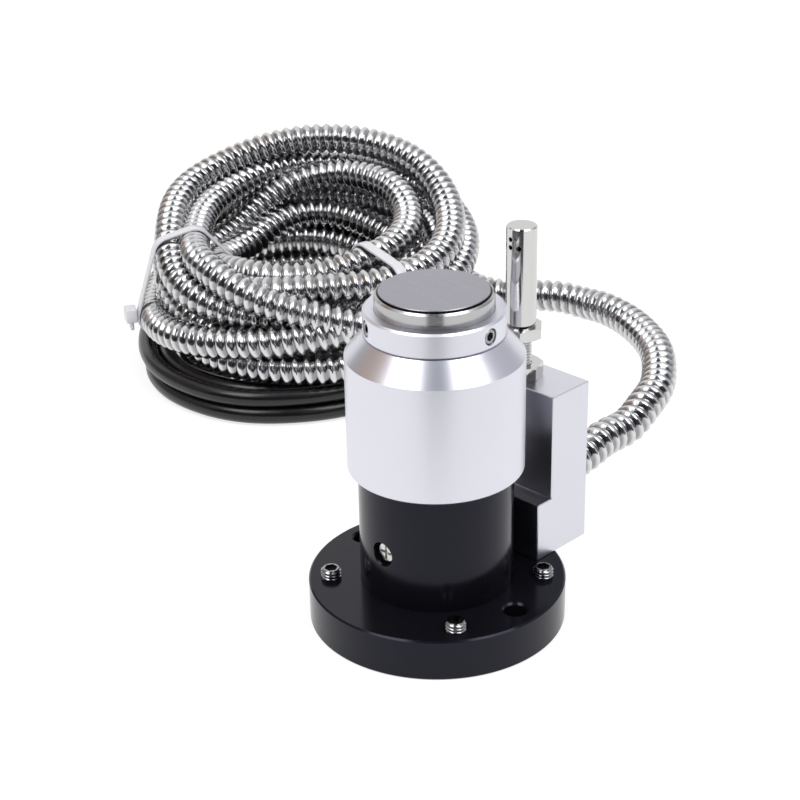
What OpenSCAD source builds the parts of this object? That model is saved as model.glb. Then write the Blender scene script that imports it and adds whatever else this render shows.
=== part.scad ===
// Plunger tool setter with a carbide touch disc, a side block that carries
// an air nozzle, and an armoured signal lead.
// Millimetres. The origin is the centre of the base's underside, +Z is up
// and +X points from the barrel to the side block.

/* [Base] */
// Diameter of the base flange
base_d = 63; // [61:0.5:72]
// Thickness of the base flange
base_h = 10.6; // [9:0.1:14]
// Chamfer on the rim of the base
base_chamfer = 0.4; // [0.3:0.1:1.5]
// Distance between the two mounting holes
mount_spacing = 51; // [49:0.5:54]
// Diameter of each mounting hole
mount_hole_d = 5.5; // [4.3:0.1:6.6]
// Diameter of the circle that the levelling screws stand on
level_circle_d = 52; // [50:0.5:55]
// Diameter of the levelling screws
level_screw_d = 5; // [3:0.5:6]
// Height of the levelling screws above the base
level_screw_proud = 2.3; // [1:0.1:4]

/* [Barrel] */
// Outside diameter of the barrel
barrel_d = 37.5; // [35:0.1:42]
// Height of the barrel above the base
barrel_h = 48; // [46:0.5:54]
// Depth of the barrel's seat in the base
barrel_seat = 2; // [1:0.5:3]
// Diameter of the sensor chamber
chamber_d = 27; // [26:0.5:28]
// Height of the lock screw above the base
lock_screw_h = 12.9; // [12:0.1:15]

/* [Plunger] */
// Travel of the plunger
travel = 5; // [3:0.5:5.5]
// Free room left under the cap at full travel
overtravel = 3; // [2:0.5:5]
// Diameter of the plunger shaft
shaft_d = 8; // [6:0.5:9]
// Outside diameter of the guide bush
bush_od = 14; // [12:0.5:15]
// Length of the guide bush
bush_len = 18; // [16:0.5:20]
// Wire diameter of the return spring
spring_wire = 1.4; // [1:0.1:1.8]
// Mean diameter of the return spring
spring_mean_d = 24; // [22.5:0.1:25]
// Number of turns of the return spring
spring_turns = 6; // [4:1:7]

/* [Cap] */
// Wall of the cap's skirt
skirt_wall = 2.15; // [1.5:0.05:3]
// Height of the cap, skirt and chamfer together
cap_h = 34.3; // [30:0.1:36]
// Height of the cap's sloped shoulder
shoulder_h = 5.3; // [4:0.1:7]
// Thickness of the cap's roof
roof_h = 8.3; // [7.5:0.1:10]
// Outside diameter of the clamp collar
collar_d = 33.4; // [33:0.1:36]
// Height of the clamp collar
collar_h = 6.2; // [5:0.1:8]
// Depth of the collar's spigot in the cap
spigot_h = 3; // [2:0.5:3.5]

/* [Touch disc] */
// Diameter of the anvil holder
anvil_d = 28; // [27:0.1:29]
// Height of the anvil holder above the collar
anvil_proud = 3.7; // [2:0.1:5]
// Diameter of the carbide disc
disc_d = 26; // [20:0.1:26.2]
// Thickness of the carbide disc
disc_h = 1.5; // [1.3:0.1:3]
// Depth of the disc's seat in the anvil holder
disc_seat = 1; // [0.5:0.1:1.2]

/* [Side block] */
// Width of the side block
block_w = 29.5; // [24:0.5:30]
// Height of the side block
block_h = 43; // [40:0.5:46]
// Height of the block's foot
foot_h = 15.5; // [14.5:0.5:18]
// Gap between the barrel and the block's foot
foot_gap = 1.75; // [1:0.05:3]
// Depth of the step above the block's foot
step_in = 5; // [4:0.5:6.5]
// Depth of the block's foot, from the barrel outwards
block_len = 18.5; // [17.5:0.5:23]
// Chamfer along the block's edges
block_chamfer = 0.2; // [0.2:0.1:0.8]
// Height of the lead's outlet above the base
outlet_h = 11; // [10.5:0.5:11.5]

/* [Air nozzle] */
// Distance from the block's upper inner face to the nozzle's axis
nozzle_in = 4.8; // [4.5:0.1:8]
// Diameter of the nozzle tube
nozzle_d = 7.5; // [7:0.1:8]
// Length of the nozzle tube
nozzle_len = 25.4; // [20:0.1:40]
// Diameter of the nozzle stud
stud_d = 5.5; // [4:0.5:5.5]
// Length of the stud that shows between the two nuts
stud_show = 7.1; // [2:0.1:10]
// Width across the flats of the upper nut
nozzle_nut_af = 10; // [9:0.1:11]
// Height of the upper nut
nozzle_nut_h = 3; // [2.5:0.1:6]
// Width across the flats of the lock nut
lock_nut_af = 10; // [9:0.5:11]
// Height of the lock nut
lock_nut_h = 3.6; // [3:0.1:6]
// Diameter of the blow holes
blow_hole_d = 1.2; // [0.6:0.1:1.4]
// Diameter of the threaded air port
air_port_d = 4.2; // [3.4:0.1:5]
// Height of the air port above the base
air_port_h = 29; // [26:0.5:31]

/* [Lead] */
// Diameter of the armour
armour_d = 10; // [9:0.5:11]
// Diameter of the cable inside the armour
cable_d = 5.5; // [4.5:0.5:6]
// Diameter of the gland's flange
gland_d = 13; // [12:0.5:15]
// Length of the gland's flange
gland_len = 6; // [4:0.5:8]
// Width of the coil's ties
tie_w = 3.6; // [2.5:0.1:5]

/* [Hidden] */
$fn = 96;

// Clearances
cut = 1;            // how far a cutter runs past a face
seat_gap = 0.05;    // between a fixed piece and its seat, each side
run_gap = 0.03;     // between the shaft and its bush, each side
skirt_gap = 0.3;    // between the cap's skirt and the barrel, each side
stop_gap = 0.1;     // between the retainer and the bush at rest

// Heights, from the table up
barrel_foot = base_h - barrel_seat;
barrel_top = base_h + barrel_h;
ceiling_z = barrel_top + travel + overtravel;
cap_top = ceiling_z + roof_h;
cap_foot = cap_top - cap_h;
spigot_z = cap_top - spigot_h;
collar_top = cap_top + collar_h;
anvil_top = collar_top + anvil_proud;
disc_z = anvil_top - disc_seat;
block_top = base_h + block_h;
outlet_z = base_h + outlet_h;
lock_screw_z = base_h + lock_screw_h;
air_port_z = base_h + air_port_h;
nozzle_nut_z = block_top + lock_nut_h + stud_show;
nozzle_z = nozzle_nut_z + nozzle_nut_h;

// Cap, block and nozzle, outwards from the barrel
cap_d = barrel_d + 2 * (skirt_gap + skirt_wall);
foot_in = barrel_d / 2 + foot_gap;
upper_in = foot_in + step_in;
block_out = foot_in + block_len;
nozzle_x = upper_in + nozzle_in;

// Underside of the base: a recess with a cover, and the screws there
cover_h = 1.8;
recess_h = 2.4;
recess_d = 41;
cover_d = recess_d - 4 * seat_gap;
core_d = 18;                    // hole through the base's web
under_angles = [60, 180, 300];  // barrel screws; the cover's lie between them
under_r = (barrel_d + chamber_d) / 4;
barrel_screw_d = 3;
barrel_screw_head = [5.5, 3];
barrel_screw_reach = 6;         // thread engaged in the barrel's wall
cover_screw_d = 2.5;
cover_screw_head = [4.4, 1];
cover_screw_len = 5;
level_screw_len = 12;
level_screw_angles = [48, 137, -127, -50];
mount_chamfer = 0.5;            // at the top of the mounting holes
block_screw_d = 4;
block_screw_head = [7, 4];
block_screw_in = 5.5;           // from the foot's inner face
block_screw_x = foot_in + block_screw_in;
block_screw_y = 7;
block_screw_reach = 10;         // thread engaged in the block
block_screw_sink = 4.4;         // depth of the counterbore in the base

// Inside of the barrel
chamber_top = barrel_top - bush_len;
spring_room = 0.6;              // beside the spring's wire in its pocket
pocket_id = spring_mean_d - spring_wire - 2 * spring_room;
pocket_od = spring_mean_d + spring_wire + 2 * spring_room;
pocket_h = 14;
pocket_z = barrel_top - pocket_h;
seal_r = 1.1;
seal_lift = 9;                  // of the seal above the cap's foot
seal_z = cap_foot + seal_lift;
seal_groove = 2 * seal_r - skirt_gap;
lock_screw_d = 3;
lock_head = [4.6, 1.4];         // head diameter and height
lock_bore_d = 6.2;              // counterbore for the head
lock_sink = 2.8;                // depth of its counterbore
lock_slot = [3.4, 0.7];         // length and width of its cross slots
sleeve_od = 4.8;
sleeve_id = 3.6;
sleeve_hold = 3;                // length held in the barrel and in the block

// Sensor on its board
board_h = 1.6;
board_room = 0.3;               // beside the board in the chamber
board_d = chamber_d - 2 * board_room;
sensor_size = [15, 7, 4.4];     // foot of the slot sensor
sensor_post = [5.2, 9.5];       // width and height of each post
sensor_z = barrel_foot + board_h;
flag_size = [2, 5, 9];
flag_stud_d = 3;
flag_stud_len = 4;

// Shaft and its retainer
shaft_below = 10;               // shaft below the bush at rest
shaft_hold = 6;                 // shaft held in the anvil holder
shaft_foot = chamber_top - shaft_below;
shaft_head = spigot_z + shaft_hold;
clip_h = 1.2;
clip_d = 13;
clip_groove = 0.8;

// Set screws in the collar
collar_screw_angles = [-87, 33, 153];
collar_screw_d = 4;
collar_screw_sink = 0.3;

// Air nozzle
nozzle_wall = 1.5;
stud_bore = 2.4;
stud_reach = 9;                 // stud inside the block
stud_up = 3.5;                  // stud inside the tube
blow_rows = [2.8, 4.8];         // below the tube's top
blow_turn = -5;                 // of the middle column from the disc's axis
blow_side_angle = 35;           // between the middle and side columns
nut_bevel = 0.9;                // share of a nut's corners that is bevelled
lock_nut_turn = 22;
nozzle_nut_turn = 39;
passage_d = 3;
port_len = 6;
port_core_d = 2.4;

// Gland and lead
gland_thread = [armour_d, 8];
gland_bore = 5;
tube_sides = 10;
lead_route = [
    [block_out + gland_len, 0, outlet_z], [55, 0, outlet_z], [66, 1, 22], [76, 1, 22],
    [86, 3, 24], [95, 6, 25], [103, 11, 26], [110, 17, 27], [116, 24, 27],
    [121, 32, 27], [125, 41, 27], [127, 50, 27], [128, 59, 26], [128, 68, 26],
    [128, 77, 26], [129, 86, 26], [131, 95, 26], [135, 104, 26], [140, 113, 26],
    [144, 123, 26], [145, 134, 26], [143, 146, 26], [138, 157, 26], [131, 167, 26]
];

// Coil of the lead: a heap that leans forward, on a flat coil of bare cable
coil_at = [86, 139];
coil_back = 45;                 // direction of the heap's high side
coil_tilt = 13;
coil_mid_z = 51;
coil_in_r = 30;
coil_foot_r = 55.5;
coil_top_r = 47.5;
cable_layers = 2;
cable_columns = 2.5;
cable_coil_h = cable_layers * cable_d;
cable_coil_out_r = 54;
cable_coil_in_r = cable_coil_out_r - cable_columns * cable_d;
coil_peak_z = coil_mid_z + coil_foot_r * tan(coil_tilt);
tie_h = 1.1;
tie_angles = [152, -99];
ferrule_d = armour_d + 2;
ferrule_len = 18;
ferrule_angle = 55;
ferrule_r = 50;

// Sweep of a round section along a list of points
function unit(v) = v / norm(v);
function heading(path, i) =
    unit(path[min(i + 1, len(path) - 1)] - path[max(i - 1, 0)]);
function ring_at(path, i, r, sides) =
    let (
        ahead = heading(path, i),
        across = unit(cross(ahead, [0, 0, 1])),
        over = cross(across, ahead)
    )
    [for (k = [0 : sides - 1])
        path[i] + r * cos(360 * k / sides) * across + r * sin(360 * k / sides) * over];

module swept_tube(path, r, sides) {
    last = len(path) - 1;
    points = [for (i = [0 : last]) each ring_at(path, i, r, sides)];
    walls = [for (i = [0 : last - 1], k = [0 : sides - 1])
        let (a = i * sides + k, b = i * sides + (k + 1) % sides)
        [a, a + sides, b + sides, b]];
    ends = [
        [for (k = [0 : sides - 1]) k],
        [for (k = [sides - 1 : -1 : 0]) last * sides + k]
    ];
    polyhedron(points, concat(walls, ends));
}

// An outline with every corner cut back by c along both of its edges
function cut_corners(outline, c) =
    let (n = len(outline))
    [for (i = [0 : n - 1])
        let (
            here = outline[i],
            before = unit(outline[(i + n - 1) % n] - here),
            after = unit(outline[(i + 1) % n] - here)
        )
        each [here + c * before, here + c * after]];

module at_angles(angles, r) {
    for (a = angles) rotate([0, 0, a]) translate([r, 0, 0]) children();
}

module bore(d, z0, z1) {
    translate([0, 0, z0]) cylinder(d = d, h = z1 - z0);
}

module hexagon(af, z0, z1) {
    translate([0, 0, z0]) cylinder(d = af / cos(30), h = z1 - z0, $fn = 6);
}

// A set screw along +Z with its foot at 0 and a hexagon socket in its head
module set_screw(d, length) {
    bevel = 0.1 * d;
    difference() {
        rotate_extrude()
            polygon([[0, 0], [d / 2 - bevel, 0], [d / 2, bevel], [d / 2, length - bevel],
                [d / 2 - bevel, length], [0, length]]);
        hexagon(d / 2, length - d / 2, length + cut);
    }
}

// A cap screw along +Z with its head down at 0 and a hexagon socket
module cap_screw(d, head, length) {
    difference() {
        union() {
            cylinder(d = head[0], h = head[1]);
            cylinder(d = d, h = length);
        }
        hexagon(0.8 * d, -cut, head[1] / 2);
    }
}

module level_screw_places() {
    at_angles(level_screw_angles, level_circle_d / 2) children();
}

module mount_hole_places() {
    for (side = [-1, 1]) translate([0, side * mount_spacing / 2, 0]) children();
}

module block_screw_places() {
    for (side = [-1, 1]) translate([block_screw_x, side * block_screw_y, 0]) children();
}

module cover_screw_places() {
    at_angles([for (a = under_angles) a + 60], under_r) children();
}

module base_flange() {
    r = base_d / 2;
    c = base_chamfer;
    color("#1b1b1d") difference() {
        rotate_extrude()
            polygon([[core_d / 2, 0], [r - c, 0], [r, c], [r, base_h - c], [r - c, base_h],
                [core_d / 2, base_h]]);
        bore(barrel_d + 2 * seat_gap, barrel_foot, base_h + cut);
        bore(recess_d, -cut, recess_h);
        mount_hole_places() {
            bore(mount_hole_d, -cut, base_h + cut);
            translate([0, 0, base_h - mount_chamfer]) cylinder(d1 = mount_hole_d,
                d2 = mount_hole_d + 4 * mount_chamfer, h = 2 * mount_chamfer);
        }
        level_screw_places() bore(level_screw_d + 2 * seat_gap, -cut, base_h + cut);
        at_angles(under_angles, under_r) {
            bore(barrel_screw_d + 2 * seat_gap, 0, base_h);
            bore(barrel_screw_head[0] + 2 * seat_gap, 0, recess_h + barrel_screw_head[1]);
        }
        cover_screw_places() bore(cover_screw_d + 2 * seat_gap, 0, base_h);
        block_screw_places() {
            bore(block_screw_d + 2 * seat_gap, -cut, base_h + cut);
            bore(block_screw_head[0] + 2 * seat_gap, -cut, block_screw_sink);
        }
    }
}

module barrel() {
    r = barrel_d / 2;
    c = 0.6;
    color("#1b1b1d") difference() {
        rotate_extrude()
            polygon([[0, barrel_foot], [r, barrel_foot], [r, barrel_top - c],
                [r - c, barrel_top], [0, barrel_top]]);
        bore(chamber_d, barrel_foot - cut, chamber_top);
        bore(bush_od + 2 * seat_gap, chamber_top - cut, barrel_top + cut);
        difference() {
            bore(pocket_od, pocket_z, barrel_top + cut);
            bore(pocket_id, pocket_z - cut, barrel_top + 2 * cut);
        }
        difference() {
            bore(barrel_d + 2 * cut, seal_z - seal_r, seal_z + seal_r);
            bore(barrel_d - 2 * seal_groove, seal_z - 2 * seal_r, seal_z + 2 * seal_r);
        }
        translate([0, 0, lock_screw_z]) rotate([0, -90, 0]) {
            bore(lock_screw_d + 2 * seat_gap, chamber_d / 2 - cut, r + cut);
            bore(lock_bore_d, r - lock_sink, r + cut);
        }
        translate([0, 0, outlet_z]) rotate([0, 90, 0])
            bore(sleeve_od + 2 * seat_gap, chamber_d / 2 - cut, r + cut);
        at_angles(under_angles, under_r)
            bore(barrel_screw_d + 2 * seat_gap, barrel_foot - cut,
                barrel_foot + barrel_screw_reach + cut);
    }
}

module barrel_screws() {
    length = barrel_foot + barrel_screw_reach - recess_h;
    color("#b9bcc2") at_angles(under_angles, under_r) translate([0, 0, recess_h])
        cap_screw(barrel_screw_d, barrel_screw_head, length);
}

module bottom_cover() {
    z0 = recess_h - cover_h;
    color("#2b2b2e") difference() {
        bore(cover_d, z0, recess_h);
        cover_screw_places() {
            bore(cover_screw_d + 2 * seat_gap, 0, base_h);
            bore(cover_screw_head[0] + 2 * seat_gap, 0, z0 + cover_screw_head[1]);
        }
    }
}

module cover_screws() {
    color("#b9bcc2") cover_screw_places() translate([0, 0, recess_h - cover_h])
        cap_screw(cover_screw_d, cover_screw_head, cover_screw_len);
}

module level_screws() {
    top = base_h + level_screw_proud;
    color("#b9bcc2") level_screw_places() translate([0, 0, top - level_screw_len])
        set_screw(level_screw_d, level_screw_len);
}

module barrel_lock_screw() {
    seat = barrel_d / 2 - lock_sink;
    color("#c9ccd2") translate([0, 0, lock_screw_z]) rotate([0, -90, 0]) difference() {
        union() {
            bore(lock_screw_d, chamber_d / 2, seat);
            bore(lock_head[0], seat, seat + lock_head[1]);
        }
        for (turn = [0, 90]) rotate([0, 0, turn])
            translate([-lock_slot[0] / 2, -lock_slot[1] / 2, seat + lock_head[1] / 2])
                cube([lock_slot[0], lock_slot[1], lock_head[1]]);
    }
}

module guide_bush() {
    r_in = shaft_d / 2 + run_gap;
    r_out = bush_od / 2;
    c = 0.5;
    color("#a8803c") rotate_extrude()
        polygon([[r_in, chamber_top + c], [r_in + c, chamber_top], [r_out, chamber_top],
            [r_out, barrel_top], [r_in + c, barrel_top], [r_in, barrel_top - c]]);
}

module wiper_seal() {
    color("#151515") translate([0, 0, seal_z]) rotate_extrude()
        translate([barrel_d / 2 + skirt_gap - seal_r, 0]) circle(r = seal_r - seat_gap);
}

module return_spring() {
    steps = 14;
    sides = 8;
    r = spring_wire / 2;
    z0 = pocket_z + r + seat_gap;
    rise = ceiling_z - pocket_z - spring_wire - 2 * seat_gap;
    count = spring_turns * steps;
    path = [for (i = [0 : count])
        [spring_mean_d / 2 * cos(360 * i / steps), spring_mean_d / 2 * sin(360 * i / steps),
            z0 + rise * i / count]];
    color("#9a9da3") swept_tube(path, r, sides);
}

module sensor_board() {
    color("#1f5b3a") bore(board_d, barrel_foot, sensor_z);
}

module slot_sensor() {
    size = sensor_size;
    color("#18181a") translate([0, 0, sensor_z]) {
        translate([-size[1] / 2, -size[0] / 2, 0]) cube([size[1], size[0], size[2]]);
        for (side = [-1, 1])
            translate([-size[1] / 2, side * (size[0] - sensor_post[0]) / 2 - sensor_post[0] / 2,
                size[2]])
                cube([size[1], sensor_post[0], sensor_post[1]]);
    }
}

// Side view of the block, +X out and +Y up
function block_outline() = cut_corners([
    [foot_in, base_h], [block_out, base_h], [block_out, block_top], [upper_in, block_top],
    [upper_in, base_h + foot_h], [foot_in, base_h + foot_h]
], block_chamfer);

// Chamfer cutters along the outline's edges, for the face at +Y
module block_edge_cuts() {
    outline = block_outline();
    n = len(outline);
    c = block_chamfer;
    for (i = [0 : n - 1]) {
        p = outline[i];
        d = outline[(i + 1) % n] - p;
        translate([p[0], block_w / 2, p[1]]) rotate([0, -atan2(d[1], d[0]), 0])
            rotate([90, 0, 90]) linear_extrude(norm(d))
                polygon([[-c, 0], [0, -c / 50], [c / 50, c / 50], [0, c]]);
    }
}

module side_block() {
    color("#c4c8cf") difference() {
        translate([0, block_w / 2, 0]) rotate([90, 0, 0])
            linear_extrude(block_w) polygon(block_outline());
        block_edge_cuts();
        mirror([0, 1, 0]) block_edge_cuts();
        block_screw_places()
            bore(block_screw_d + 2 * seat_gap, base_h - cut, base_h + block_screw_reach + cut);
        translate([nozzle_x, 0, 0]) {
            bore(stud_d + 2 * seat_gap, block_top - stud_reach, block_top + cut);
            bore(passage_d, air_port_z, block_top);
        }
        translate([0, 0, air_port_z]) rotate([0, 90, 0]) {
            bore(air_port_d, block_out - port_len, block_out + cut);
            bore(port_core_d, nozzle_x, block_out);
        }
        translate([0, 0, outlet_z]) rotate([0, 90, 0]) {
            bore(gland_thread[0] + 2 * seat_gap, block_out - gland_thread[1], block_out + cut);
            bore(sleeve_od + 2 * seat_gap, foot_in - cut, block_out);
        }
    }
}

module block_screws() {
    seat = block_screw_sink - block_screw_head[1];
    color("#b9bcc2") block_screw_places() translate([0, 0, seat])
        cap_screw(block_screw_d, block_screw_head, base_h + block_screw_reach - seat);
}

module wire_sleeve() {
    from = barrel_d / 2 - sleeve_hold;
    to = foot_in + sleeve_hold;
    color("#2a2a2a") translate([0, 0, outlet_z]) rotate([0, 90, 0]) difference() {
        bore(sleeve_od, from, to);
        bore(sleeve_id, from - cut, to + cut);
    }
}

module conduit_gland() {
    rim = 0.8;
    r = gland_d / 2;
    color("#b3b6bb") translate([0, 0, outlet_z]) rotate([0, 90, 0]) difference() {
        union() {
            bore(gland_thread[0], block_out - gland_thread[1], block_out);
            rotate_extrude()
                polygon([[0, block_out], [r, block_out], [r, block_out + gland_len - rim],
                    [r - rim, block_out + gland_len], [0, block_out + gland_len]]);
        }
        bore(gland_bore, block_out - gland_thread[1] - cut, block_out + gland_len + cut);
    }
}

// A hexagon nut on the nozzle's stud, bevelled at both ends
module stud_nut(af, z0, h, turn) {
    r = af / 2 / cos(30);
    bevel = nut_bevel * (r - af / 2);
    slope = bevel / 2;
    translate([nozzle_x, 0, z0]) difference() {
        intersection() {
            rotate([0, 0, turn]) hexagon(af, 0, h);
            rotate_extrude()
                polygon([[0, 0], [r - bevel, 0], [r, slope], [r, h - slope],
                    [r - bevel, h], [0, h]]);
        }
        bore(stud_d + 2 * seat_gap, -cut, h + cut);
    }
}

module nozzle_lock_nut() {
    color("#c9ccd2") stud_nut(lock_nut_af, block_top, lock_nut_h, lock_nut_turn);
}

module nozzle_stud() {
    color("#9a9da3") translate([nozzle_x, 0, 0]) difference() {
        bore(stud_d, block_top - stud_reach + seat_gap, nozzle_z + stud_up);
        bore(stud_bore, block_top - stud_reach, nozzle_z + stud_up + cut);
    }
}

module nozzle_nut() {
    color("#d3d5d8") stud_nut(nozzle_nut_af, nozzle_nut_z, nozzle_nut_h, nozzle_nut_turn);
}

module nozzle_tube() {
    r = nozzle_d / 2;
    c = 0.3;
    foot_c = 0.6;
    top = nozzle_z + nozzle_len;
    bore_r = r - nozzle_wall;
    stud_r = stud_d / 2 + seat_gap;
    color("#d3d5d8") translate([nozzle_x, 0, 0]) difference() {
        rotate_extrude()
            polygon([[stud_r, nozzle_z], [r - foot_c, nozzle_z], [r, nozzle_z + foot_c],
                [r, top - c], [r - c, top], [0, top], [0, top - nozzle_wall], [bore_r, top - nozzle_wall],
                [bore_r, nozzle_z + stud_up], [stud_r, nozzle_z + stud_up]]);
        rotate([0, 0, blow_turn]) {
            for (row = blow_rows) translate([0, 0, top - row]) rotate([0, -90, 0])
                bore(blow_hole_d, 0, nozzle_d);
            for (side = [-1, 1]) rotate([0, 0, side * blow_side_angle])
                translate([0, 0, top - blow_rows[1]]) rotate([0, -90, 0])
                    bore(blow_hole_d, 0, nozzle_d);
        }
    }
}

module cap() {
    hole_r = shaft_d / 2 + seat_gap;
    skirt_r = barrel_d / 2 + skirt_gap;
    seat_r = collar_spigot_d() / 2 + seat_gap;
    r = cap_d / 2;
    c = 0.5;
    color("#d4d6da") rotate_extrude()
        polygon([[hole_r, ceiling_z], [skirt_r, ceiling_z], [skirt_r, cap_foot + c],
            [skirt_r + c, cap_foot], [r - c, cap_foot], [r, cap_foot + c],
            [r, cap_top - shoulder_h], [collar_d / 2 + seat_gap, cap_top], [seat_r, cap_top],
            [seat_r, spigot_z], [hole_r, spigot_z]]);
}

function collar_spigot_d() = (collar_d + anvil_d) / 2;

module clamp_collar() {
    r_in = anvil_d / 2 + seat_gap;
    r = collar_d / 2;
    c = 0.5;
    groove = 0.5;
    mid_z = cap_top + collar_h / 2;
    color("#d4d6da") difference() {
        rotate_extrude()
            polygon([[r_in, spigot_z], [collar_spigot_d() / 2, spigot_z],
                [collar_spigot_d() / 2, cap_top], [r - groove, cap_top],
                [r - groove, cap_top + groove / 2], [r, cap_top + groove],
                [r, collar_top - c], [r - c, collar_top], [r_in, collar_top]]);
        at_angles(collar_screw_angles, 0) translate([0, 0, mid_z]) rotate([0, 90, 0])
            bore(collar_screw_d + 2 * seat_gap, 0, collar_d);
    }
}

module collar_set_screws() {
    foot = anvil_d / 2 + seat_gap;
    length = collar_d / 2 - foot - collar_screw_sink;
    color("#8f9298") at_angles(collar_screw_angles, foot)
        translate([0, 0, cap_top + collar_h / 2]) rotate([0, 90, 0])
            set_screw(collar_screw_d, length);
}

module anvil_holder() {
    r = anvil_d / 2;
    seat_r = disc_d / 2 + seat_gap;
    hole_r = shaft_d / 2 + seat_gap;
    lip = (r - seat_r) / 2;
    color("#c2c4c8") rotate_extrude()
        polygon([[hole_r, spigot_z], [r, spigot_z], [r, anvil_top - lip], [r - lip, anvil_top],
            [seat_r, anvil_top], [seat_r, disc_z], [0, disc_z], [0, shaft_head],
            [hole_r, shaft_head]]);
}

module carbide_disc() {
    r = disc_d / 2;
    c = 0.2;
    top = disc_z + disc_h;
    color("#77787c") rotate_extrude()
        polygon([[0, disc_z], [r, disc_z], [r, top - c], [r - c, top], [0, top]]);
}

module plunger_shaft() {
    r = shaft_d / 2;
    c = 0.5;
    clip_top = chamber_top - stop_gap;
    groove_r = r - clip_groove;
    color("#b3b6bb") difference() {
        rotate_extrude()
            polygon([[0, shaft_foot], [r - c, shaft_foot], [r, shaft_foot + c],
                [r, clip_top - clip_h - seat_gap], [groove_r, clip_top - clip_h - seat_gap],
                [groove_r, clip_top], [r, clip_top],
                [r, shaft_head - c], [r - c, shaft_head], [0, shaft_head]]);
        bore(flag_stud_d + 2 * seat_gap, shaft_foot - cut, shaft_foot + flag_stud_len + cut);
    }
}

module shaft_retainer() {
    top = chamber_top - stop_gap;
    groove_r = shaft_d / 2 - clip_groove + seat_gap;
    mouth = 2 * groove_r - 1;
    color("#55585e") difference() {
        bore(clip_d, top - clip_h, top - seat_gap);
        bore(2 * groove_r, top - clip_h - cut, top + cut);
        translate([0, -mouth / 2, top - clip_h - cut]) cube([clip_d, mouth, clip_h + 2 * cut]);
    }
}

module sensor_flag() {
    size = flag_size;
    color("#2a2a2a") {
        bore(flag_stud_d, shaft_foot, shaft_foot + flag_stud_len);
        translate([-size[1] / 2, -size[0] / 2, shaft_foot - size[2]])
            cube([size[1], size[0], size[2]]);
    }
}

module armour_lead() {
    color("#b4b6b9") swept_tube(lead_route, armour_d / 2, tube_sides);
}

module coil_place() {
    translate([coil_at[0], coil_at[1], 0]) children();
}

// The room above the heap's sloping top
module above_coil(lift) {
    span = 4 * coil_foot_r;
    translate([0, 0, coil_mid_z + lift]) rotate([0, 0, coil_back]) rotate([0, -coil_tilt, 0])
        translate([-span / 2, -span / 2, 0]) cube([span, span, span]);
}

module armour_coil() {
    color("#b4b6b9") coil_place() difference() {
        rotate_extrude()
            polygon([[coil_in_r, cable_coil_h], [coil_foot_r, cable_coil_h],
                [coil_top_r, coil_peak_z], [coil_in_r, coil_peak_z]]);
        above_coil(0);
    }
}

module armour_ferrule() {
    rim = 0.8;
    r = ferrule_d / 2;
    half = ferrule_len / 2;
    color("#c9ccd2") coil_place() rotate([0, 0, ferrule_angle])
        translate([ferrule_r, 0, cable_coil_h + r]) rotate([90, 0, 0]) rotate_extrude()
            polygon([[0, -half], [r - rim, -half], [r, rim - half], [r, half - rim],
                [r - rim, half], [0, half]]);
}

module cable_coil() {
    color("#161617") coil_place() difference() {
        bore(2 * cable_coil_out_r, 0, cable_coil_h);
        bore(2 * cable_coil_in_r, -cut, cable_coil_h + cut);
    }
}

// Outside radius of the heap at a height
function heap_r(z) =
    coil_foot_r - (coil_foot_r - coil_top_r) * (z - cable_coil_h) / (coil_peak_z - cable_coil_h);

// Section through the heap up to a height, widened by lift on three sides
module heap_section(top, lift, foot) {
    polygon([[coil_in_r - lift, foot], [coil_foot_r + lift, foot], [heap_r(top) + lift, top + lift],
        [coil_in_r - lift, top + lift]]);
}

module cable_ties() {
    color("#e6e8ec") coil_place() for (a = tie_angles) {
        slope = tan(coil_tilt) * cos(a - coil_back);
        top = coil_mid_z + max(coil_in_r * slope, coil_top_r * slope);
        rotate([0, 0, a]) rotate([90, 0, 0]) linear_extrude(tie_w, center = true) difference() {
            heap_section(top, tie_h, cable_coil_h);
            heap_section(top, 0, cable_coil_h + tie_h);
        }
    }
}

base_flange();
barrel();
barrel_screws();
bottom_cover();
cover_screws();
level_screws();
barrel_lock_screw();
guide_bush();
wiper_seal();
return_spring();
sensor_board();
slot_sensor();
side_block();
block_screws();
wire_sleeve();
conduit_gland();
nozzle_lock_nut();
cap();
clamp_collar();
collar_set_screws();
anvil_holder();
carbide_disc();
plunger_shaft();
shaft_retainer();
sensor_flag();
nozzle_tube();
nozzle_nut();
nozzle_stud();
armour_lead();
armour_coil();
armour_ferrule();
cable_coil();
cable_ties();
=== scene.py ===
"""Dresses a plunger tool setter: finishes, armoured lead, cable coil, ties, threads and a plain studio."""
import logging
import math
from dataclasses import dataclass
from enum import Enum
from functools import cache

import bmesh
import bpy
import numpy as np
from mathutils import Matrix, Vector


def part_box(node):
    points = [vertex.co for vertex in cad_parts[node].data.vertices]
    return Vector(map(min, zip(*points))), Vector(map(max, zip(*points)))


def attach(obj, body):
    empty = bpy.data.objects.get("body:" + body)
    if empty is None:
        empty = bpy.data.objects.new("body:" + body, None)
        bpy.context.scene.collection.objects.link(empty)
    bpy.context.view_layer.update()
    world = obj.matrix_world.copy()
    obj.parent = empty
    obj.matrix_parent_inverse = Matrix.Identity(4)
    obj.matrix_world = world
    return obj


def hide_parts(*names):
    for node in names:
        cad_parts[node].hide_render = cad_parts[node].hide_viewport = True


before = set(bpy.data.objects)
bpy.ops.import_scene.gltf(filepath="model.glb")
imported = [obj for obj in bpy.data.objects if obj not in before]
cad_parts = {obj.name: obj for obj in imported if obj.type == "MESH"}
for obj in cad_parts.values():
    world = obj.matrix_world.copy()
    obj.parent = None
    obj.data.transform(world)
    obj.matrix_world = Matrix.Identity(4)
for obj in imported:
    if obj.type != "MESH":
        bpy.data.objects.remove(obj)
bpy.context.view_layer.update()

LOG = logging.getLogger("tool_setter")
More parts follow.
